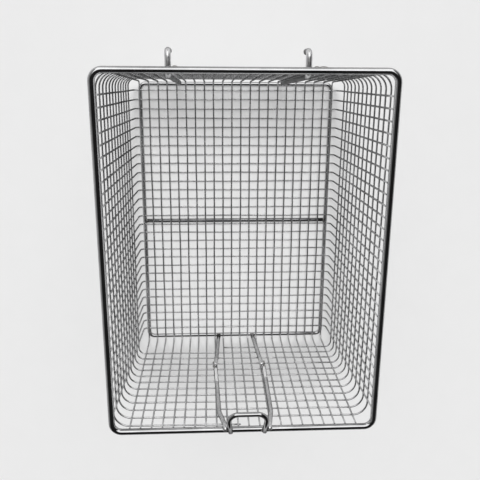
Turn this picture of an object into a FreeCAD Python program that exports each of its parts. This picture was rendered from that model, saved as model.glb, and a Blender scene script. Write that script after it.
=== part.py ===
import FreeCAD, Part
import math
import os

# Deep fryer basket of bent and welded round wire, in millimetres.
# x runs across the basket, y from the handle loop at the front to the hooks at the back, z up.
# The basket stands on z = 0.

# Wire thicknesses
MESH_WIRE = 1.3
BASE_WIRE = 3.5
BRACKET_WIRE = 3.5
HOOK_WIRE = 4.0
RIM_WIRE = 4.5

# Clearance left between two wires that are welded where they cross
WELD_GAP = 0.03
RING_WELD_GAP = 0.07
LEG_WELD_GAP = 0.2
WELD_BITE = 0.1

# Mesh
MESH_PITCH = 8.0
LENGTHWISE_COUNT = 22
CROSSWISE_COUNT = 29
SIDE_MARGIN = 4.5
FRONT_MARGIN = 12.6
BACK_MARGIN = 7.4
SIDE_DRAFT = 6.4
FRONT_DRAFT = 1.2
BACK_DRAFT = 6.4
LENGTHWISE_BEND = 5.0
CROSSWISE_BEND = 3.7

# Flat sides that stand for round wire, and chords in each bend
MESH_SIDE_COUNT = 6
MESH_CHORD_COUNT = 3
BAR_SIDE_COUNT = 12
BAR_CHORD_COUNT = 4
KNEE_CHORD_COUNT = 2

# Rim
RIM_OUTSET = 1.46
RIM_HEIGHT = 156.0
RIM_CORNER = 7.0

# Frame under the base, set in from the walls' foot
FRAME_SIDE_INSET = 4.5
FRAME_FRONT_INSET = 3.4
FRAME_BACK_INSET = 2.1
FRAME_CORNER = 5.0
CROSSBAR_Y = -5.4

# One wall wire, wound round the basket as a spiral
SPIRAL_TURN_COUNT = 12
SPIRAL_START_X = -12.7
SPIRAL_END_X = -2.0
SPIRAL_START_Z = 20.9
SPIRAL_END_DROP = 6.13
SPIRAL_CORNER_INSET = 3.7

# Bracket legs inside the front wall
LEG_FOOT_X = 16.4
LEG_LAP_LOW = 60.0
LEG_LAP_HIGH = 69.0
LEG_LAP_X = 21.3
LEG_LAP_SHIFT = 1.0
LEFT_LAP_OFFSET = 0.3
RIGHT_LAP_OFFSET = 1.8
LEG_KNEE_X = 19.8
LEG_KNEE_SHIFT = 1.8
LEG_KNEE_DROP = 16.75
LEG_KNEE_BEND = 14.0
LEG_TOP_X = 16.3
LEG_TOP_REACH = 3.8

# Handle loop welded across the rim
LOOP_CENTRE_X = 2.5
LOOP_FOOT_X = 12.3
LOOP_CORNER_X = 14.6
LOOP_REACH = 18.9
LOOP_TAIL = -0.6
LOOP_SLOPE = 14.0
LOOP_BEND = 7.0

# Hanging hooks on the back wall, each placed from the lengthwise wire on its left
LEFT_HOOK_NEIGHBOUR = 5
LEFT_HOOK_OFFSET = 2.8
RIGHT_HOOK_NEIGHBOUR = 16
RIGHT_HOOK_OFFSET = 3.4
HOOK_FOOT_Z = 14.0
HOOK_REACH = 11.69
HOOK_DROP = 12.0
HOOK_UPPER_BEND = 5.0
HOOK_TIP_BEND = 4.0

# Heights and half sizes that follow from the values above
CROSSWISE_Z = BASE_WIRE + WELD_GAP + MESH_WIRE / 2.0
LENGTHWISE_Z = CROSSWISE_Z + MESH_WIRE + WELD_GAP
RIM_Z = RIM_HEIGHT - RIM_WIRE / 2.0
HALF_WIDTH = (LENGTHWISE_COUNT - 1) / 2.0 * MESH_PITCH + SIDE_MARGIN
FRONT_BASE = -((CROSSWISE_COUNT - 1) / 2.0 * MESH_PITCH + FRONT_MARGIN)
BACK_BASE = (CROSSWISE_COUNT - 1) / 2.0 * MESH_PITCH + BACK_MARGIN
RIM_HALF_WIDTH = HALF_WIDTH + SIDE_DRAFT + RIM_OUTSET
RIM_FRONT = FRONT_BASE - FRONT_DRAFT - RIM_OUTSET
RIM_BACK = BACK_BASE + BACK_DRAFT + RIM_OUTSET
FRAME_HALF_WIDTH = HALF_WIDTH - FRAME_SIDE_INSET
FRAME_FRONT = FRONT_BASE + FRAME_FRONT_INSET
FRAME_BACK = BACK_BASE - FRAME_BACK_INSET
SPIRAL_RISE = (RIM_Z - SPIRAL_END_DROP - SPIRAL_START_Z) / SPIRAL_TURN_COUNT
SPIRAL_CORNER_X = HALF_WIDTH - SPIRAL_CORNER_INSET
LEG_KNEE_Z = RIM_Z - LEG_KNEE_DROP
HOOK_TIP_Y = RIM_BACK + RIM_WIRE / 2.0 + HOOK_REACH
MIDDLE_SHIFT = -(RIM_FRONT - RIM_WIRE / 2.0 + HOOK_TIP_Y) / 2.0


def point(x, y, z):
    return FreeCAD.Vector(x, y, z)


def wall_half_width(z):
    """Half width between the crosswise wires' arms at a height."""
    return HALF_WIDTH + SIDE_DRAFT * (z - CROSSWISE_Z) / (RIM_Z - CROSSWISE_Z)


def front_wall(z):
    """y of the lengthwise wires' front arms at a height."""
    return FRONT_BASE - FRONT_DRAFT * (z - CROSSWISE_Z) / (RIM_Z - CROSSWISE_Z)


def back_wall(z):
    """y of the lengthwise wires' back arms at a height."""
    return BACK_BASE + BACK_DRAFT * (z - CROSSWISE_Z) / (RIM_Z - CROSSWISE_Z)


def lengthwise_x(number):
    """x of a lengthwise wire, counted from 1 at the left."""
    return (number - (LENGTHWISE_COUNT + 1) / 2.0) * MESH_PITCH


def save(shape, name):
    """Move a finished piece to the part's own middle and write it out."""
    shape.translate(point(0.0, MIDDLE_SHIFT, 0.0))
    shape.exportStep("parts/" + name + ".step")


def corner_arc(before, corner, after, radius):
    """Tangent points and centre of the arc that rounds one corner of a path."""
    back = (before - corner).normalize()
    ahead = (after - corner).normalize()
    half_angle = back.getAngle(ahead) / 2.0
    reach = radius / math.tan(half_angle)
    inward = (back + ahead).normalize()
    centre = corner + inward * (radius / math.sin(half_angle))
    return corner + back * reach, corner + ahead * reach, centre


def arc_points(start, end, centre, chords):
    """Points along an arc from start to end, both included."""
    first = start - centre
    last = end - centre
    angle = first.getAngle(last)
    points = []
    for step in range(chords + 1):
        turn = angle * step / chords
        one = math.sin(angle - turn) / math.sin(angle)
        two = math.sin(turn) / math.sin(angle)
        points.append(centre + first * one + last * two)
    return points


def chorded_path(corners, bends, chords):
    """A path of points with each inner corner turned to its own radius in a few chords."""
    path = [corners[0]]
    for before, corner, after, bend in zip(corners, corners[1:], corners[2:], bends):
        start, end, centre = corner_arc(before, corner, after, bend)
        path.extend(arc_points(start, end, centre, chords))
    path.append(corners[-1])
    return path


def wire_bar(path, thickness, sides, facing, closed=False):
    """Wire along a path: flat sides, one of them square to `facing`, and mitred bends."""
    steps = [(b - a).normalize() for a, b in zip(path, path[1:])]
    normals = [steps[0]]
    for one, two in zip(steps, steps[1:]):
        normals.append((one + two).normalize())
    normals.append(steps[-1])
    up = (facing - steps[0] * facing.dot(steps[0])).normalize()
    across = steps[0].cross(up)
    reach = thickness / 2.0 / math.cos(math.pi / sides)
    ring = []
    for k in range(sides):
        turn = 2.0 * math.pi * (k + 0.5) / sides
        ring.append(path[0] + up * (reach * math.cos(turn)) + across * (reach * math.sin(turn)))
    rings = [ring]
    for step, target, normal in zip(steps, path[1:], normals[1:]):
        ring = [p + step * ((target - p).dot(normal) / step.dot(normal)) for p in ring]
        rings.append(ring)
    if closed:
        rings[-1] = rings[0]
    faces = []
    for near, far in zip(rings, rings[1:]):
        for k in range(sides):
            n = (k + 1) % sides
            edge_loop = [near[k], near[n], far[n], far[k], near[k]]
            faces.append(Part.Face(Part.makePolygon(edge_loop)))
    if not closed:
        faces.append(Part.Face(Part.makePolygon(rings[0] + [rings[0][0]])))
        faces.append(Part.Face(Part.makePolygon(rings[-1] + [rings[-1][0]])))
    shell = Part.makeShell(faces)
    shell.sewShape()
    bar = Part.makeSolid(shell)
    if bar.Volume < 0.0:
        bar.reverse()
    return bar


def make_ring(half_width, front, back, z, corner, thickness):
    """Closed rectangular ring of thick wire with rounded corners."""
    middle = point(0.0, front, z)
    corners = [
        middle,
        point(half_width, front, z),
        point(half_width, back, z),
        point(-half_width, back, z),
        point(-half_width, front, z),
        middle,
    ]
    path = chorded_path(corners, [corner] * 4, BAR_CHORD_COUNT)
    return wire_bar(path, thickness, BAR_SIDE_COUNT, point(0.0, 0.0, 1.0), closed=True)


def wire_end_height():
    """Height at which the mesh wires' arms end, under the rim's inner side."""
    tuck = RIM_OUTSET - MESH_WIRE / 2.0
    return RIM_Z - math.sqrt((RIM_WIRE / 2.0 + WELD_GAP) ** 2 - tuck ** 2)


def make_lengthwise_wire(x):
    """U-shaped mesh wire that runs along the base and up both end walls."""
    top = wire_end_height()
    corners = [
        point(x, front_wall(top), top),
        point(x, front_wall(LENGTHWISE_Z), LENGTHWISE_Z),
        point(x, back_wall(LENGTHWISE_Z), LENGTHWISE_Z),
        point(x, back_wall(top), top),
    ]
    path = chorded_path(corners, [LENGTHWISE_BEND] * 2, MESH_CHORD_COUNT)
    return wire_bar(path, MESH_WIRE, MESH_SIDE_COUNT, point(0.0, 1.0, 0.0))


def make_crosswise_wire(index):
    """U-shaped mesh wire that runs across the base and up both side walls."""
    y = (index - (CROSSWISE_COUNT - 1) / 2.0) * MESH_PITCH
    top = wire_end_height()
    high = wall_half_width(top)
    corners = [
        point(-high, y, top),
        point(-HALF_WIDTH, y, CROSSWISE_Z),
        point(HALF_WIDTH, y, CROSSWISE_Z),
        point(high, y, top),
    ]
    path = chorded_path(corners, [CROSSWISE_BEND] * 2, MESH_CHORD_COUNT)
    return wire_bar(path, MESH_WIRE, MESH_SIDE_COUNT, point(1.0, 0.0, 0.0))


def spiral_corner(sx, sy, z):
    """Centre and radius of the wall wire's turn round one corner of the basket."""
    outset = MESH_WIRE + RING_WELD_GAP
    radius = wall_half_width(z) + outset - SPIRAL_CORNER_X
    if sy < 0:
        wall = front_wall(z) - outset
    else:
        wall = back_wall(z) + outset
    return point(sx * SPIRAL_CORNER_X, wall - sy * radius, z), radius


def spiral_path():
    """Points of the wall wire: it climbs along the straight walls and turns level at the corners."""
    outset = MESH_WIRE + RING_WELD_GAP
    mid_z = SPIRAL_START_Z + SPIRAL_TURN_COUNT * SPIRAL_RISE / 2.0
    front_turn = spiral_corner(1, -1, mid_z)[0]
    back_turn = spiral_corner(1, 1, mid_z)[0]
    slope = SPIRAL_RISE / (4.0 * SPIRAL_CORNER_X + 2.0 * (back_turn.y - front_turn.y))
    signs = [(1, -1), (1, 1), (-1, 1), (-1, -1)]
    z = SPIRAL_START_Z
    here = point(SPIRAL_START_X, front_wall(z) - outset, z)
    path = [here]
    for turn in range(SPIRAL_TURN_COUNT):
        for number, (sx, sy) in enumerate(signs):
            centre = spiral_corner(sx, sy, z)[0]
            if number % 2 == 0:
                run = abs(centre.x - here.x)
            else:
                run = abs(centre.y - here.y)
            z = z + run * slope
            centre, radius = spiral_corner(sx, sy, z)
            for chord in range(MESH_CHORD_COUNT + 1):
                angle = math.radians(90.0 * (number - 1) + 90.0 * chord / MESH_CHORD_COUNT)
                across = point(math.cos(angle), math.sin(angle), 0.0)
                path.append(centre + across * radius)
            here = path[-1]
    z = z + (SPIRAL_END_X - here.x) * slope
    path.append(point(SPIRAL_END_X, front_wall(z) - outset, z))
    return path


def make_bracket_leg(side, lap_offset):
    """One leg of the front bracket: an upper wire bent over the rim, lapped by a lower one."""
    inset = MESH_WIRE / 2.0 + WELD_GAP + BRACKET_WIRE / 2.0
    lap_x = side * LEG_LAP_X + LEG_LAP_SHIFT
    knee_x = side * LEG_KNEE_X + LEG_KNEE_SHIFT
    top_x = side * LEG_TOP_X + LOOP_CENTRE_X
    round_rim = RIM_WIRE / 2.0 + BRACKET_WIRE / 2.0 + LEG_WELD_GAP
    top_bend = point(top_x, RIM_FRONT + round_rim, RIM_Z + round_rim * math.tan(math.pi / 8.0))
    outward = point(0.0, -LEG_TOP_REACH, LEG_TOP_REACH) * math.sqrt(0.5)
    upper_corners = [
        point(lap_x, front_wall(LEG_LAP_LOW) + inset, LEG_LAP_LOW),
        point(knee_x, front_wall(LEG_KNEE_Z) + inset, LEG_KNEE_Z),
        top_bend,
        top_bend + outward,
    ]
    upper_path = chorded_path(upper_corners, [LEG_KNEE_BEND, round_rim], KNEE_CHORD_COUNT)
    upper = wire_bar(upper_path, BRACKET_WIRE, BAR_SIDE_COUNT, point(0.0, 1.0, 0.0))
    lap_mid = (LEG_LAP_LOW + LEG_LAP_HIGH) / 2.0
    step_in = math.sqrt((BRACKET_WIRE - WELD_BITE) ** 2 - lap_offset ** 2)
    lower_path = [
        point(side * LEG_FOOT_X, FRAME_FRONT, BASE_WIRE + LEG_WELD_GAP),
        point(lap_x - side * lap_offset, front_wall(lap_mid) + inset + step_in, LEG_LAP_HIGH),
    ]
    lower = wire_bar(lower_path, BRACKET_WIRE, BAR_SIDE_COUNT, point(0.0, 1.0, 0.0))
    return upper.fuse(lower)


def make_handle_loop():
    """Staple across the rim, leaning in over the basket, that the wire handle hooks on to."""
    lean = math.radians(LOOP_SLOPE)
    along = point(0.0, math.cos(lean), math.sin(lean))
    above = point(0.0, -math.sin(lean), math.cos(lean))
    stand = RIM_WIRE / 2.0 + BRACKET_WIRE / 2.0 + WELD_GAP
    seat = point(LOOP_CENTRE_X, RIM_FRONT, RIM_Z) + above * stand
    foot = seat - along * LOOP_TAIL
    bar = seat + along * LOOP_REACH
    corners = [
        foot + point(-LOOP_FOOT_X, 0.0, 0.0),
        bar + point(-LOOP_CORNER_X, 0.0, 0.0),
        bar + point(LOOP_CORNER_X, 0.0, 0.0),
        foot + point(LOOP_FOOT_X, 0.0, 0.0),
    ]
    path = chorded_path(corners, [LOOP_BEND] * 2, BAR_CHORD_COUNT)
    return wire_bar(path, BRACKET_WIRE, BAR_SIDE_COUNT, above)


def make_hanging_hook(x):
    """Hook wire: up the back wall between two mesh wires, out under the rim and down."""
    inset = HOOK_WIRE / 2.0 - MESH_WIRE / 2.0
    level = RIM_Z - RIM_WIRE / 2.0 - HOOK_WIRE / 2.0 - WELD_GAP
    tip_y = HOOK_TIP_Y - HOOK_WIRE / 2.0
    corners = [
        point(x, back_wall(HOOK_FOOT_Z) - inset, HOOK_FOOT_Z),
        point(x, back_wall(level) - inset, level),
        point(x, tip_y, level),
        point(x, tip_y, level - HOOK_DROP),
    ]
    path = chorded_path(corners, [HOOK_UPPER_BEND, HOOK_TIP_BEND], BAR_CHORD_COUNT)
    return wire_bar(path, HOOK_WIRE, BAR_SIDE_COUNT, point(1.0, 0.0, 0.0))


def make_crossbar():
    """Straight bar across the middle of the base frame, butted to its sides."""
    end = FRAME_HALF_WIDTH - BASE_WIRE / 2.0 - WELD_GAP
    path = [point(-end, CROSSBAR_Y, BASE_WIRE / 2.0), point(end, CROSSBAR_Y, BASE_WIRE / 2.0)]
    return wire_bar(path, BASE_WIRE, BAR_SIDE_COUNT, point(0.0, 0.0, 1.0))


os.makedirs("parts", exist_ok=True)

for number in range(1, LENGTHWISE_COUNT + 1):
    save(make_lengthwise_wire(lengthwise_x(number)), "lengthwise_wire_%02d" % number)

for number in range(CROSSWISE_COUNT):
    save(make_crosswise_wire(number), "crosswise_wire_%02d" % (number + 1))

spiral = wire_bar(spiral_path(), MESH_WIRE, MESH_SIDE_COUNT, point(0.0, 1.0, 0.0))
save(spiral, "spiral_wall_wire")

top_rim = make_ring(RIM_HALF_WIDTH, RIM_FRONT, RIM_BACK, RIM_Z, RIM_CORNER, RIM_WIRE)
save(top_rim, "top_rim")

base_frame = make_ring(
    FRAME_HALF_WIDTH, FRAME_FRONT, FRAME_BACK, BASE_WIRE / 2.0, FRAME_CORNER, BASE_WIRE
)
save(base_frame, "base_frame")
save(make_crossbar(), "base_crossbar")

left_hook_x = lengthwise_x(LEFT_HOOK_NEIGHBOUR) + LEFT_HOOK_OFFSET
right_hook_x = lengthwise_x(RIGHT_HOOK_NEIGHBOUR) + RIGHT_HOOK_OFFSET
save(make_hanging_hook(left_hook_x), "left_hanging_hook")
save(make_hanging_hook(right_hook_x), "right_hanging_hook")

save(make_handle_loop(), "handle_loop")
save(make_bracket_leg(-1, LEFT_LAP_OFFSET), "left_bracket_leg")
save(make_bracket_leg(1, RIGHT_LAP_OFFSET), "right_bracket_leg")
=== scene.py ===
import math
import bpy
import numpy as np
from mathutils import Matrix, Vector


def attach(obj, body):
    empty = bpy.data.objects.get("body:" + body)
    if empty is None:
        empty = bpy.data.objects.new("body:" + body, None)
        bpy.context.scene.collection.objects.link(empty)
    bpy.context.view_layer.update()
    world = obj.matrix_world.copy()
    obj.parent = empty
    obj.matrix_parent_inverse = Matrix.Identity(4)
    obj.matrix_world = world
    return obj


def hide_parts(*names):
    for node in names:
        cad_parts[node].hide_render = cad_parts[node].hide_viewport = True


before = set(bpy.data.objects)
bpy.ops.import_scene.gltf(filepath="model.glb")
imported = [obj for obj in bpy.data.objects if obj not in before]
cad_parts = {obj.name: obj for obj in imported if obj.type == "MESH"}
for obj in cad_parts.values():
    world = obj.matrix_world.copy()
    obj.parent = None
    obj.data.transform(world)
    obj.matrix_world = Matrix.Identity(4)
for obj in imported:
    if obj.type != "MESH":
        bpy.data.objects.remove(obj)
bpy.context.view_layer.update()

MM = 0.001

# The basket in millimetres, with the CAD part's names and values
MESH_WIRE = 1.3
BASE_WIRE = 3.5
BRACKET_WIRE = 3.5
HOOK_WIRE = 4.0
RIM_WIRE = 4.5
WELD_GAP = 0.03
RING_WELD_GAP = 0.07
LEG_WELD_GAP = 0.2
WELD_BITE = 0.1
MESH_PITCH = 8.0
LENGTHWISE_COUNT = 22
CROSSWISE_COUNT = 29
SIDE_MARGIN = 4.5
FRONT_MARGIN = 12.6
BACK_MARGIN = 7.4
SIDE_DRAFT = 6.4
FRONT_DRAFT = 1.2
BACK_DRAFT = 6.4
LENGTHWISE_BEND = 5.0
CROSSWISE_BEND = 3.7
RIM_OUTSET = 1.46
RIM_HEIGHT = 156.0
RIM_CORNER = 7.0
FRAME_SIDE_INSET = 4.5
FRAME_FRONT_INSET = 3.4
FRAME_BACK_INSET = 2.1
FRAME_CORNER = 5.0
CROSSBAR_Y = -5.4
SPIRAL_TURN_COUNT = 12
SPIRAL_START_X = -12.7
SPIRAL_END_X = -2.0
SPIRAL_START_Z = 20.9
SPIRAL_END_DROP = 6.13
SPIRAL_CORNER_INSET = 3.7
LEG_FOOT_X = 16.4
LEG_LAP_LOW = 60.0
LEG_LAP_HIGH = 69.0
LEG_LAP_X = 21.3
LEG_LAP_SHIFT = 1.0
LEFT_LAP_OFFSET = 0.3
RIGHT_LAP_OFFSET = 1.8
LEG_KNEE_X = 19.8
LEG_KNEE_SHIFT = 1.8
LEG_KNEE_DROP = 16.75
LEG_KNEE_BEND = 14.0
LEG_TOP_X = 16.3
LEG_TOP_REACH = 3.8
LOOP_CENTRE_X = 2.5
LOOP_FOOT_X = 12.3
LOOP_CORNER_X = 14.6
LOOP_REACH = 18.9
LOOP_TAIL = -0.6
LOOP_SLOPE = 14.0
LOOP_BEND = 7.0
LEFT_HOOK_NEIGHBOUR = 5
LEFT_HOOK_OFFSET = 2.8
RIGHT_HOOK_NEIGHBOUR = 16
RIGHT_HOOK_OFFSET = 3.4
HOOK_FOOT_Z = 14.0
HOOK_REACH = 11.69
HOOK_DROP = 12.0
HOOK_UPPER_BEND = 5.0
HOOK_TIP_BEND = 4.0

# Heights and half sizes that follow from them
CROSSWISE_Z = BASE_WIRE + WELD_GAP + MESH_WIRE / 2
LENGTHWISE_Z = CROSSWISE_Z + MESH_WIRE + WELD_GAP
RIM_Z = RIM_HEIGHT - RIM_WIRE / 2
HALF_WIDTH = (LENGTHWISE_COUNT - 1) / 2 * MESH_PITCH + SIDE_MARGIN
FRONT_BASE = -((CROSSWISE_COUNT - 1) / 2 * MESH_PITCH + FRONT_MARGIN)
BACK_BASE = (CROSSWISE_COUNT - 1) / 2 * MESH_PITCH + BACK_MARGIN
RIM_HALF_WIDTH = HALF_WIDTH + SIDE_DRAFT + RIM_OUTSET
RIM_FRONT = FRONT_BASE - FRONT_DRAFT - RIM_OUTSET
RIM_BACK = BACK_BASE + BACK_DRAFT + RIM_OUTSET
FRAME_HALF_WIDTH = HALF_WIDTH - FRAME_SIDE_INSET
FRAME_FRONT = FRONT_BASE + FRAME_FRONT_INSET
FRAME_BACK = BACK_BASE - FRAME_BACK_INSET
CROSSBAR_END = FRAME_HALF_WIDTH - BASE_WIRE / 2 - WELD_GAP
SPIRAL_RISE = (RIM_Z - SPIRAL_END_DROP - SPIRAL_START_Z) / SPIRAL_TURN_COUNT
SPIRAL_CORNER_X = HALF_WIDTH - SPIRAL_CORNER_INSET
SPIRAL_OUTSET = MESH_WIRE + RING_WELD_GAP
LEG_KNEE_Z = RIM_Z - LEG_KNEE_DROP
HOOK_TIP_Y = RIM_BACK + RIM_WIRE / 2 + HOOK_REACH
MIDDLE_SHIFT = -(RIM_FRONT - RIM_WIRE / 2 + HOOK_TIP_Y) / 2

# How closely the round wires are drawn
MESH_SIDES = 12
THICK_SIDES = 28
BEND_STEPS = 8
RUN_STEP = 12.0

# Slow sideways wave of the mesh wires: its height, its two lengths and the second one's share
WAVE = 0.16
SLOW_LENGTH = 163.0
QUICK_LENGTH = 71.0
QUICK_SHARE = 0.6

# Rounding of a wire's cut end, as shares of its radius
END_DEPTH = 0.3
END_RADIUS = 0.6

# Weld beads: half sizes, and how far some sit from the middle of the wire they hold
LAP_BEAD = (1.2, 1.4, 1.8)
LAP_BEAD_ASIDE = 1.2
LAP_BEAD_INSET = 1.5
FOOT_BEAD = (2.4, 1.9, 0.8)
LEG_RIM_BEAD = (1.7, 1.1, 1.1)
LEG_RIM_OFFSET = (0.0, 2.1, 1.1)
LOOP_BEAD = (2.2, 1.3, 0.9)
LOOP_OFFSET = (0.0, -0.3, 2.2)
HOOK_RIM_BEAD = (2.6, 1.6, 0.9)
HOOK_SIDE_BEAD = (1.9, 0.8, 0.8)
HOOK_SIDE_OFFSET = (4.6, 2.0, -0.6)
RIM_JOINT_BEAD = (3.2, 0.8, 1.2)
RIM_JOINT_OFFSET = (8.8, 1.9, 0.0)
CROSSBAR_BEAD = (0.9, 2.0, 0.8)
CROSSBAR_BEAD_DROP = 0.5
BEAD_ROWS = 8
BEAD_COLUMNS = 14

# Painted highlight on the legs: a light, partly matt band stands in for the bright reflection on their
# inner side. Heights between which it runs, colour, metal share, and how squarely the surface has to
# face into the basket
LEFT_PAINTED_HIGHLIGHT = (70.0, 93.0)
RIGHT_PAINTED_HIGHLIGHT = (68.0, 88.0)
PAINTED_HIGHLIGHT_COLOUR = (0.95, 0.95, 0.95, 1.0)
PAINTED_HIGHLIGHT_METAL = 0.3
PAINTED_HIGHLIGHT_FACING = 0.75

# Floor: its size in metres, its brightness, and how much of a shadow on it stays hidden
FLOOR_SIZE = 0.9
FLOOR_WHITE = 0.807
FLOOR_LIFT = 0.4

# Brightness of the room round the basket, where 1 is white
BACKDROP_WHITE = 0.78
ROOM_DIM = 0.018
WINDOW_BRIGHT = 1.7
SIDE_BRIGHT = 0.22

# How the photograph was taken: millimetres, radians and pixels
CAMERA_PLACE = (-23.0, 123.57 + MIDDLE_SHIFT, 531.14)
CAMERA_TILT = 0.2728
CAMERA_PAN = -0.0511
CAMERA_ROLL = 0.0059
FOCAL_PIXELS = 583.88
PHOTO_PIXELS = 480
SENSOR = 36.0


# Points and walls
def spot(x, y, z):
    return np.array([x, y, z], float)


def unit(vector):
    return vector / np.linalg.norm(vector)


def lengthwise_x(number):
    """x of a lengthwise wire, counted from 1 at the left."""
    return (number - 1 - (LENGTHWISE_COUNT - 1) / 2) * MESH_PITCH


def wall_half_width(z):
    return HALF_WIDTH + SIDE_DRAFT * (z - CROSSWISE_Z) / (RIM_Z - CROSSWISE_Z)


def front_wall(z):
    return FRONT_BASE - FRONT_DRAFT * (z - CROSSWISE_Z) / (RIM_Z - CROSSWISE_Z)


def back_wall(z):
    return BACK_BASE + BACK_DRAFT * (z - CROSSWISE_Z) / (RIM_Z - CROSSWISE_Z)


# Paths of wires
def fill_run(start, end):
    """Points from start to end, without the end, close enough together to carry a slight wave."""
    count = max(1, int(round(np.linalg.norm(end - start) / RUN_STEP)))
    return [start + (end - start) * k / count for k in range(count)]


def rounded(corners, bends):
    """Path through the corners with each inner one turned on an arc of its own radius."""
    path = []
    here = corners[0]
    for before, corner, after, bend in zip(corners, corners[1:], corners[2:], bends):
        back = unit(before - corner)
        ahead = unit(after - corner)
        half = math.acos(float(np.dot(back, ahead))) / 2
        reach = bend / math.tan(half)
        centre = corner + unit(back + ahead) * bend / math.sin(half)
        first = corner + back * reach - centre
        last = corner + ahead * reach - centre
        angle = math.acos(float(np.dot(first, last)) / bend ** 2)
        path.extend(fill_run(here, centre + first))
        for k in range(BEND_STEPS):
            turn = angle * k / BEND_STEPS
            one = math.sin(angle - turn) / math.sin(angle)
            two = math.sin(turn) / math.sin(angle)
            path.append(centre + first * one + last * two)
        here = centre + last
    path.extend(fill_run(here, corners[-1]))
    path.append(corners[-1])
    return np.array(path)


def waved(path, axis, seed):
    """Drawn wire is never quite straight: a slow, small sideways wave, nil at both ends."""
    run = np.concatenate([[0.0], np.cumsum(np.linalg.norm(np.diff(path, axis=0), axis=1))])
    slow = np.sin(2 * math.pi * (run / SLOW_LENGTH + 0.37 * seed))
    quick = QUICK_SHARE * np.sin(2 * math.pi * (run / QUICK_LENGTH + 0.61 * seed))
    path = path.copy()
    path[:, axis] += WAVE * (slow + quick) * np.sin(math.pi * run / run[-1])
    return path


def ring_path(half_width, front, back, z, corner):
    """Level rectangle with rounded corners, from the middle of its front and back to it."""
    middle = spot(0, front, z)
    corners = [middle, spot(half_width, front, z), spot(half_width, back, z)]
    corners += [spot(-half_width, back, z), spot(-half_width, front, z), middle]
    return rounded(corners, [corner] * 4)


def spiral_corner(sx, sy, z):
    """Centre and radius of the wall wire's turn round one corner of the basket."""
    radius = wall_half_width(z) + SPIRAL_OUTSET - SPIRAL_CORNER_X
    wall = front_wall(z) - SPIRAL_OUTSET if sy < 0 else back_wall(z) + SPIRAL_OUTSET
    return spot(sx * SPIRAL_CORNER_X, wall - sy * radius, z), radius


def spiral_path():
    """The wall wire: it climbs along the straight walls and turns level at the corners."""
    mid_z = SPIRAL_START_Z + SPIRAL_TURN_COUNT * SPIRAL_RISE / 2
    depth = spiral_corner(1, 1, mid_z)[0][1] - spiral_corner(1, -1, mid_z)[0][1]
    slope = SPIRAL_RISE / (4 * SPIRAL_CORNER_X + 2 * depth)
    z = SPIRAL_START_Z
    here = spot(SPIRAL_START_X, front_wall(z) - SPIRAL_OUTSET, z)
    path = []
    for _ in range(SPIRAL_TURN_COUNT):
        for number, (sx, sy) in enumerate([(1, -1), (1, 1), (-1, 1), (-1, -1)]):
            axis = number % 2
            z = z + abs(spiral_corner(sx, sy, z)[0][axis] - here[axis]) * slope
            centre, radius = spiral_corner(sx, sy, z)
            arc = []
            for k in range(BEND_STEPS + 1):
                angle = math.radians(90 * (number - 1) + 90 * k / BEND_STEPS)
                arc.append(centre + radius * spot(math.cos(angle), math.sin(angle), 0))
            path.extend(fill_run(here, arc[0]))
            path.extend(arc[:-1])
            here = arc[-1]
    z = z + (SPIRAL_END_X - here[0]) * slope
    end = spot(SPIRAL_END_X, front_wall(z) - SPIRAL_OUTSET, z)
    path.extend(fill_run(here, end))
    path.append(end)
    return np.array(path)


# Meshes
def skin(path, radius, sides, closed):
    """Vertices and faces of round wire along a path, with slightly rounded ends."""
    steps = np.diff(path, axis=0)
    steps /= np.linalg.norm(steps, axis=1)[:, None]
    tangents = np.vstack([steps[:1], steps[:-1] + steps[1:], steps[-1:]])
    tangents /= np.linalg.norm(tangents, axis=1)[:, None]
    guess = spot(0, 0, 1) if abs(tangents[0][2]) < 0.9 else spot(1, 0, 0)
    normal = np.cross(tangents[0], guess)
    turns = np.arange(sides) * 2 * math.pi / sides
    circles = []
    last = len(path) - 1
    for i in range(last + 1):
        normal = unit(normal - tangents[i] * np.dot(normal, tangents[i]))
        side = np.cross(tangents[i], normal)
        circle = np.outer(np.cos(turns), normal) + np.outer(np.sin(turns), side)
        if closed or 0 < i < last:
            circles.append(path[i] + circle * radius)
        elif i == 0:
            circles.append(path[i] + circle * radius * END_RADIUS)
            circles.append(path[i] + tangents[i] * radius * END_DEPTH + circle * radius)
        else:
            circles.append(path[i] - tangents[i] * radius * END_DEPTH + circle * radius)
            circles.append(path[i] + circle * radius * END_RADIUS)
    if closed:
        circles = circles[:-1]
    rings = len(circles)
    faces = []
    for r in range(rings if closed else rings - 1):
        near = r * sides
        far = (r + 1) % rings * sides
        for k in range(sides):
            n = (k + 1) % sides
            faces.append((near + k, near + n, far + n, far + k))
    if not closed:
        faces.append(tuple(reversed(range(sides))))
        faces.append(tuple(range((rings - 1) * sides, rings * sides)))
    return np.vstack(circles), faces


def add_piece(name, verts, faces, material):
    """One smooth object that stands in the basket's own frame."""
    mesh = bpy.data.meshes.new(name)
    mesh.from_pydata(((verts + spot(0, MIDDLE_SHIFT, 0)) * MM).tolist(), [], faces)
    mesh.shade_smooth()
    mesh.materials.append(material)
    piece = bpy.data.objects.new(name, mesh)
    bpy.context.scene.collection.objects.link(piece)
    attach(piece, "root")
    return piece


def wire(node, paths, thickness, sides, material, closed=False):
    """Round wire, of one or more lengths, in place of a node's flat-sided solid."""
    verts = []
    faces = []
    count = 0
    for path in paths:
        points, sheet = skin(path, thickness / 2, sides, closed)
        verts.append(points)
        faces.extend([tuple(v + count for v in face) for face in sheet])
        count += len(points)
    piece = add_piece(node + "_round", np.vstack(verts), faces, material)
    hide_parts(node)


def mesh_wire(node, path):
    wire(node, [path], MESH_WIRE, MESH_SIDES, mesh_steel)


def thick_wire(node, paths, thickness, material, closed=False):
    wire(node, paths, thickness, THICK_SIDES, material, closed)


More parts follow.
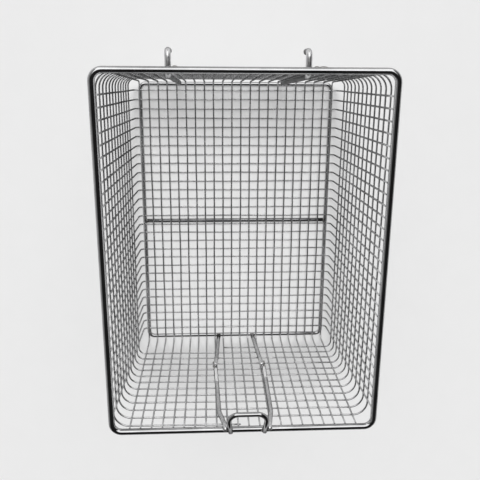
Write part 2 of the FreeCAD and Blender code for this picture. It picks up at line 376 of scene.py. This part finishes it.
def bead(name, place, half_sizes, seed):
    """Weld bead: a small uneven lump of melted wire."""
    balls = [spot(0, 0, 1)]
    for i in range(1, BEAD_ROWS):
        down = math.pi * i / BEAD_ROWS
        for k in range(BEAD_COLUMNS):
            turn = 2 * math.pi * k / BEAD_COLUMNS
            lumps = 0.10 * math.sin(3 * turn + seed) * math.sin(down)
            swell = 1 + lumps + 0.08 * math.sin(5 * down + 2 * seed)
            flat = spot(math.cos(turn), math.sin(turn), 0) * math.sin(down)
            balls.append((flat + spot(0, 0, math.cos(down))) * swell)
    balls.append(spot(0, 0, -1))
    bottom = len(balls) - 1
    faces = []
    for k in range(BEAD_COLUMNS):
        n = (k + 1) % BEAD_COLUMNS
        faces.append((0, 1 + k, 1 + n))
        for i in range(BEAD_ROWS - 2):
            near = 1 + i * BEAD_COLUMNS
            far = near + BEAD_COLUMNS
            faces.append((near + k, far + k, far + n, near + n))
        faces.append((bottom, bottom - BEAD_COLUMNS + n, bottom - BEAD_COLUMNS + k))
    verts = np.array(place) + np.array(balls) * np.array(half_sizes)
    add_piece(name, verts, faces, weld_steel)


# Shader nodes
def feed(tree, source, target):
    """Give an input a plain value, or link it to another node's output."""
    if isinstance(source, bpy.types.NodeSocket):
        tree.links.new(source, target)
    else:
        target.default_value = source


def noise(tree, place, scale, detail):
    node = tree.nodes.new("ShaderNodeTexNoise")
    node.inputs["Scale"].default_value = scale
    node.inputs["Detail"].default_value = detail
    tree.links.new(place, node.inputs["Vector"])
    return node.outputs["Fac"]


def parts(tree, vector):
    """x, y and z of a vector."""
    node = tree.nodes.new("ShaderNodeSeparateXYZ")
    tree.links.new(vector, node.inputs["Vector"])
    return node.outputs


def maths(tree, operation, *terms):
    node = tree.nodes.new("ShaderNodeMath")
    node.operation = operation
    for term, target in zip(terms, node.inputs):
        feed(tree, term, target)
    return node.outputs["Value"]


def mapped(tree, value, before, after, kind="LINEAR"):
    """A value carried from one range to another and held at its ends."""
    node = tree.nodes.new("ShaderNodeMapRange")
    node.interpolation_type = kind
    node.inputs["From Min"].default_value = before[0]
    node.inputs["From Max"].default_value = before[1]
    node.inputs["To Min"].default_value = after[0]
    node.inputs["To Max"].default_value = after[1]
    tree.links.new(value, node.inputs["Value"])
    return node.outputs["Result"]


def mixed(tree, kind, share, first, second):
    node = tree.nodes.new("ShaderNodeMix")
    node.data_type = kind
    feed(tree, share, node.inputs["Factor"])
    feed(tree, first, node.inputs["A"])
    feed(tree, second, node.inputs["B"])
    return node.outputs["Result"]


def toned(tree, value, low, high):
    """Colour that runs from one (place, colour) to the other as the value grows."""
    node = tree.nodes.new("ShaderNodeValToRGB")
    for stop, (position, colour) in zip(node.color_ramp.elements, (low, high)):
        stop.position = position
        stop.color = colour + (1.0,)
    tree.links.new(value, node.inputs["Fac"])
    return node.outputs["Color"]


# Materials of the basket
def steel(name, dark, light, smooth, rough, grain, bump):
    """Stainless wire: cloudy tone, uneven polish and fine drawing marks."""
    material = bpy.data.materials.new(name)
    material.use_nodes = True
    tree = material.node_tree
    shader = tree.nodes["Principled BSDF"]
    shader.inputs["Metallic"].default_value = 1.0
    shader.inputs["Specular Tint"].default_value = (0.12, 0.12, 0.12, 1.0)
    place = tree.nodes.new("ShaderNodeTexCoord").outputs["Object"]
    cloud = noise(tree, place, 60.0, 3.0)
    tree.links.new(toned(tree, cloud, (0.35, dark), (0.65, light)), shader.inputs["Base Color"])
    tree.links.new(mapped(tree, cloud, (0.3, 0.7), (smooth, rough)), shader.inputs["Roughness"])
    relief = tree.nodes.new("ShaderNodeBump")
    relief.inputs["Strength"].default_value = bump
    relief.inputs["Distance"].default_value = 0.0001
    tree.links.new(noise(tree, place, grain, 4.0), relief.inputs["Height"])
    tree.links.new(relief.outputs["Normal"], shader.inputs["Normal"])
    return material


def add_painted_highlight(material, low, high):
    """Painted highlight: a light, partly matt band between two heights on the side that faces into the
    basket.
    """
    tree = material.node_tree
    shader = tree.nodes["Principled BSDF"]
    plain = shader.inputs["Base Color"].links[0].from_socket
    place = tree.nodes.new("ShaderNodeTexCoord")
    height = parts(tree, place.outputs["Object"])["Z"]
    facing = parts(tree, place.outputs["Normal"])["Y"]
    # The painted highlight's mask: a height band, on faces turned into the basket
    band = maths(tree, "COMPARE", height, (low + high) / 2 * MM, (high - low) / 2 * MM)
    painted_highlight = maths(tree, "MULTIPLY", band, maths(tree, "GREATER_THAN", facing, PAINTED_HIGHLIGHT_FACING))
    colour = mixed(tree, "RGBA", painted_highlight, plain, PAINTED_HIGHLIGHT_COLOUR)
    tree.links.new(colour, shader.inputs["Base Color"])
    tree.links.new(mapped(tree, painted_highlight, (0.0, 1.0), (1.0, PAINTED_HIGHLIGHT_METAL)), shader.inputs["Metallic"])


mesh_steel = steel("mesh_wire_steel", (0.58, 0.58, 0.585), (0.80, 0.80, 0.805), 0.18, 0.3, 1400.0, 0.25)
thick_steel = steel("thick_wire_steel", (0.46, 0.46, 0.465), (0.60, 0.60, 0.605), 0.07, 0.14, 900.0, 0.1)
hook_steel = steel("hook_steel", (0.66, 0.66, 0.665), (0.84, 0.84, 0.845), 0.26, 0.40, 900.0, 0.2)
# Painted shade: the crossbar's steel is much darker than the frame's, standing in for its contact shadow
# on the floor
shaded_bar_steel = steel("crossbar_painted_shade_steel", (0.20, 0.20, 0.205), (0.32, 0.32, 0.325), 0.05, 0.1, 900.0, 0.1)
weld_steel = steel("weld_steel", (0.30, 0.29, 0.28), (0.52, 0.51, 0.50), 0.25, 0.42, 2400.0, 0.5)


# Pieces of the basket
def lengthwise_wire(number, top):
    x = lengthwise_x(number)
    corners = [
        spot(x, front_wall(top), top),
        spot(x, front_wall(LENGTHWISE_Z), LENGTHWISE_Z),
        spot(x, back_wall(LENGTHWISE_Z), LENGTHWISE_Z),
        spot(x, back_wall(top), top),
    ]
    path = waved(rounded(corners, [LENGTHWISE_BEND] * 2), 0, number)
    mesh_wire("lengthwise_wire_%02d" % number, path)


def crosswise_wire(number, top):
    y = (number - 1 - (CROSSWISE_COUNT - 1) / 2) * MESH_PITCH
    high = wall_half_width(top)
    corners = [
        spot(-high, y, top),
        spot(-HALF_WIDTH, y, CROSSWISE_Z),
        spot(HALF_WIDTH, y, CROSSWISE_Z),
        spot(high, y, top),
    ]
    path = waved(rounded(corners, [CROSSWISE_BEND] * 2), 1, number + 39)
    mesh_wire("crosswise_wire_%02d" % number, path)


def hanging_hook(node, x):
    """Shank up the inside of the back wall, reach under the rim, tip turned down."""
    level = RIM_Z - RIM_WIRE / 2 - HOOK_WIRE / 2 - WELD_GAP
    inset = HOOK_WIRE / 2 - MESH_WIRE / 2
    tip_y = HOOK_TIP_Y - HOOK_WIRE / 2
    corners = [
        spot(x, back_wall(HOOK_FOOT_Z) - inset, HOOK_FOOT_Z),
        spot(x, back_wall(level) - inset, level),
        spot(x, tip_y, level),
        spot(x, tip_y, level - HOOK_DROP),
    ]
    thick_wire(node, [rounded(corners, [HOOK_UPPER_BEND, HOOK_TIP_BEND])], HOOK_WIRE, hook_steel)


def handle_loop():
    """Staple across the front rim, leaning into the basket."""
    lean = math.radians(LOOP_SLOPE)
    along = spot(0, math.cos(lean), math.sin(lean))
    above = spot(0, -math.sin(lean), math.cos(lean))
    seat = spot(LOOP_CENTRE_X, RIM_FRONT, RIM_Z) + above * (RIM_WIRE / 2 + BRACKET_WIRE / 2 + WELD_GAP)
    foot = seat - along * LOOP_TAIL
    bar = seat + along * LOOP_REACH
    corners = [
        foot + spot(-LOOP_FOOT_X, 0, 0),
        bar + spot(-LOOP_CORNER_X, 0, 0),
        bar + spot(LOOP_CORNER_X, 0, 0),
        foot + spot(LOOP_FOOT_X, 0, 0),
    ]
    thick_wire("handle_loop", [rounded(corners, [LOOP_BEND] * 2)], BRACKET_WIRE, thick_steel)


def bracket_leg(node, side, lap_offset, painted_highlight):
    """Two lapped wires up the inside of the front wall and over the rim, with their welds."""
    inset = MESH_WIRE / 2 + WELD_GAP + BRACKET_WIRE / 2
    round_rim = RIM_WIRE / 2 + BRACKET_WIRE / 2 + LEG_WELD_GAP
    lap_x = side * LEG_LAP_X + LEG_LAP_SHIFT
    knee_x = side * LEG_KNEE_X + LEG_KNEE_SHIFT
    top_x = side * LEG_TOP_X + LOOP_CENTRE_X
    foot_x = side * LEG_FOOT_X
    loop_x = LOOP_CENTRE_X + side * LOOP_FOOT_X
    top_bend = spot(top_x, RIM_FRONT + round_rim, RIM_Z + round_rim * math.tan(math.pi / 8))
    upper = [
        spot(lap_x, front_wall(LEG_LAP_LOW) + inset, LEG_LAP_LOW),
        spot(knee_x, front_wall(LEG_KNEE_Z) + inset, LEG_KNEE_Z),
        top_bend,
        top_bend + spot(0, -LEG_TOP_REACH, LEG_TOP_REACH) * math.sqrt(0.5),
    ]
    step_in = math.sqrt((BRACKET_WIRE - WELD_BITE) ** 2 - lap_offset ** 2)
    lap_y = front_wall((LEG_LAP_LOW + LEG_LAP_HIGH) / 2) + inset + step_in
    lower = [
        spot(foot_x, FRAME_FRONT, BASE_WIRE + LEG_WELD_GAP),
        spot(lap_x - side * lap_offset, lap_y, LEG_LAP_HIGH),
    ]
    leg_steel = steel(node + "_steel", (0.66, 0.66, 0.665), (0.84, 0.84, 0.845), 0.14, 0.28, 900.0, 0.2)
    # Painted highlight: a light band on the leg's inner side stands in for its bright reflection
    add_painted_highlight(leg_steel, painted_highlight[0], painted_highlight[1])
    paths = [rounded(upper, [LEG_KNEE_BEND, round_rim]), rounded(lower, [])]
    thick_wire(node, paths, BRACKET_WIRE, leg_steel)
    beside = lap_x - side * (lap_offset / 2 - LAP_BEAD_ASIDE)
    for number, z in enumerate((LEG_LAP_LOW + LAP_BEAD_INSET, LEG_LAP_HIGH - LAP_BEAD_INSET)):
        bead(node + "_lap_weld_%d" % (number + 1), (beside, lap_y - step_in / 2, z), LAP_BEAD, z)
    bead(node + "_foot_weld", (foot_x, FRAME_FRONT, BASE_WIRE), FOOT_BEAD, 4 + side)
    rim_place = spot(top_x, RIM_FRONT, RIM_Z) + LEG_RIM_OFFSET
    bead(node + "_rim_weld", rim_place, LEG_RIM_BEAD, 7 + side)
    loop_place = spot(loop_x, RIM_FRONT, RIM_Z) + LOOP_OFFSET
    bead(node + "_loop_weld", loop_place, LOOP_BEAD, 9 + side)


left_hook_x = lengthwise_x(LEFT_HOOK_NEIGHBOUR) + LEFT_HOOK_OFFSET
right_hook_x = lengthwise_x(RIGHT_HOOK_NEIGHBOUR) + RIGHT_HOOK_OFFSET
wire_top = RIM_Z - math.sqrt((RIM_WIRE / 2 + WELD_GAP) ** 2 - (RIM_OUTSET - MESH_WIRE / 2) ** 2)

for index in range(LENGTHWISE_COUNT):
    lengthwise_wire(index + 1, wire_top)
for index in range(CROSSWISE_COUNT):
    crosswise_wire(index + 1, wire_top)
mesh_wire("spiral_wall_wire", waved(spiral_path(), 2, 7))

rim_path = ring_path(RIM_HALF_WIDTH, RIM_FRONT, RIM_BACK, RIM_Z, RIM_CORNER)
thick_wire("top_rim", [rim_path], RIM_WIRE, thick_steel, closed=True)
frame_path = ring_path(FRAME_HALF_WIDTH, FRAME_FRONT, FRAME_BACK, BASE_WIRE / 2, FRAME_CORNER)
thick_wire("base_frame", [frame_path], BASE_WIRE, thick_steel, closed=True)
bar_path = [spot(end * CROSSBAR_END, CROSSBAR_Y, BASE_WIRE / 2) for end in (-1, 1)]
thick_wire("base_crossbar", [rounded(bar_path, [])], BASE_WIRE, shaded_bar_steel)
hanging_hook("left_hanging_hook", left_hook_x)
hanging_hook("right_hanging_hook", right_hook_x)
handle_loop()
bracket_leg("left_bracket_leg", -1, LEFT_LAP_OFFSET, LEFT_PAINTED_HIGHLIGHT)
bracket_leg("right_bracket_leg", 1, RIGHT_LAP_OFFSET, RIGHT_PAINTED_HIGHLIGHT)

for name, x in (("left_hook", left_hook_x), ("right_hook", right_hook_x)):
    bead(name + "_rim_weld", (x, RIM_BACK, RIM_Z - RIM_WIRE / 2), HOOK_RIM_BEAD, x)
    bead(name + "_side_weld", spot(x, RIM_BACK, RIM_Z) + HOOK_SIDE_OFFSET, HOOK_SIDE_BEAD, x + 1)
bead("rim_joint_weld", spot(right_hook_x, RIM_BACK, RIM_Z) + RIM_JOINT_OFFSET, RIM_JOINT_BEAD, 3)
for name, end in (("left", -1), ("right", 1)):
    place = (end * CROSSBAR_END, CROSSBAR_Y, BASE_WIRE - CROSSBAR_BEAD_DROP)
    bead("crossbar_%s_weld" % name, place, CROSSBAR_BEAD, 5 + end)


# Floor: a lit surface, part of which always looks evenly pale so that the shadow stays soft
def pale_floor():
    material = bpy.data.materials.new("pale_floor")
    material.use_nodes = True
    tree = material.node_tree
    shader = tree.nodes["Principled BSDF"]
    shader.inputs["Roughness"].default_value = 0.9
    shader.inputs["Specular IOR Level"].default_value = 0.1
    fleck = tree.nodes.new("ShaderNodeTexNoise")
    fleck.inputs["Scale"].default_value = 40.0
    tint = toned(tree, fleck.outputs["Fac"], (0.0, (0.79, 0.79, 0.79)), (1.0, (0.82, 0.82, 0.82)))
    tree.links.new(tint, shader.inputs["Base Color"])
    glow = tree.nodes.new("ShaderNodeEmission")
    glow.inputs["Strength"].default_value = FLOOR_WHITE
    rays = tree.nodes.new("ShaderNodeLightPath").outputs
    seen = maths(tree, "ADD", rays["Is Camera Ray"], rays["Is Glossy Ray"])
    through = maths(tree, "ADD", seen, rays["Is Transmission Ray"])
    blend = tree.nodes.new("ShaderNodeMixShader")
    tree.links.new(maths(tree, "MULTIPLY", through, FLOOR_LIFT), blend.inputs["Fac"])
    tree.links.new(shader.outputs["BSDF"], blend.inputs[1])
    tree.links.new(glow.outputs["Emission"], blend.inputs[2])
    tree.links.new(blend.outputs["Shader"], tree.nodes["Material Output"].inputs["Surface"])
    return material


bpy.ops.mesh.primitive_plane_add(size=FLOOR_SIZE, location=(0.0, 0.0, 0.0))
floor = bpy.context.object
floor.name = "studio_floor"
floor.data.materials.append(pale_floor())


# World: a dark room with a bright window above and behind the basket, and a dim one at the left.
# Wires that run across the basket mirror the window and look light; lengthwise ones stay dark.
# A pale backdrop stands round the floor, which the camera sees and the steel mirrors.
def edge(tree, value, nought, one):
    """Soft edge in the world: 0 at the first number and before it, 1 at the second and beyond."""
    if nought < one:
        return mapped(tree, value, (nought, one), (0.0, 1.0), "SMOOTHSTEP")
    return mapped(tree, value, (one, nought), (1.0, 0.0), "SMOOTHSTEP")


def studio_world():
    world = bpy.data.worlds.new("studio")
    world.use_nodes = True
    tree = world.node_tree
    toward = parts(tree, tree.nodes.new("ShaderNodeTexCoord").outputs["Generated"])
    above_floor = edge(tree, toward["Z"], 0.0, 0.12)
    across = edge(tree, maths(tree, "ABSOLUTE", toward["X"]), 0.62, 0.46)
    behind = maths(tree, "MULTIPLY", across, edge(tree, toward["Y"], 0.18, 0.30))
    under_top = maths(tree, "MULTIPLY", behind, edge(tree, toward["Y"], 0.97, 0.88))
    window = maths(tree, "MULTIPLY", under_top, above_floor)
    left_side = maths(tree, "MULTIPLY", edge(tree, toward["X"], -0.55, -0.72), above_floor)
    window_light = mapped(tree, window, (0.0, 1.0), (ROOM_DIM, WINDOW_BRIGHT))
    side_light = mapped(tree, left_side, (0.0, 1.0), (0.0, SIDE_BRIGHT))
    room = maths(tree, "ADD", window_light, side_light)
    rays = tree.nodes.new("ShaderNodeLightPath").outputs
    mirrored = maths(tree, "ADD", rays["Is Glossy Ray"], rays["Is Transmission Ray"])
    low = maths(tree, "MULTIPLY", edge(tree, toward["Z"], 0.14, 0.04), mirrored)
    backdrop = maths(tree, "ADD", rays["Is Camera Ray"], low)
    shown = mixed(tree, "FLOAT", backdrop, room, BACKDROP_WHITE)
    background = tree.nodes["Background"]
    background.inputs["Color"].default_value = (1.0, 1.0, 1.0, 1.0)
    tree.links.new(shown, background.inputs["Strength"])
    return world


bpy.context.scene.world = studio_world()


# Lamps
def lamp(name, place, spread, power):
    """Soft lamp far off, which lights the floor evenly and isn't mirrored in the wires."""
    light = bpy.data.lights.new(name, "SUN")
    light.angle = math.radians(spread)
    light.energy = power
    holder = bpy.data.objects.new(name, light)
    holder.location = place
    holder.rotation_euler = (-Vector(place)).to_track_quat("-Z", "Y").to_euler()
    holder.visible_glossy = False
    bpy.context.scene.collection.objects.link(holder)


lamp("overhead_lamp", (0.0, 0.62, 1.9), 15.0, 1.78)
lamp("left_lamp", (-1.0, 0.2, 1.6), 40.0, 0.15)
lamp("right_lamp", (1.0, 0.2, 1.6), 40.0, 0.15)

# Camera
tilt = Matrix.Rotation(CAMERA_TILT, 3, "X")
pan = Matrix.Rotation(CAMERA_PAN, 3, "Y")
roll = Matrix.Rotation(CAMERA_ROLL, 3, "Z")
looking_down = Matrix(((1, 0, 0), (0, -1, 0), (0, 0, -1)))
view = roll @ tilt @ pan @ looking_down
camera_data = bpy.data.cameras.new("photo_camera")
camera_data.sensor_width = SENSOR
camera_data.lens = FOCAL_PIXELS / PHOTO_PIXELS * SENSOR
camera_data.dof.use_dof = False
camera = bpy.data.objects.new("photo_camera", camera_data)
axes = Matrix((view[0], -view[1], -view[2])).transposed()
camera.matrix_world = Matrix.Translation(Vector(CAMERA_PLACE) * MM) @ axes.to_4x4()
bpy.context.scene.collection.objects.link(camera)
bpy.context.scene.camera = camera
bpy.context.scene.view_settings.view_transform = "Standard"
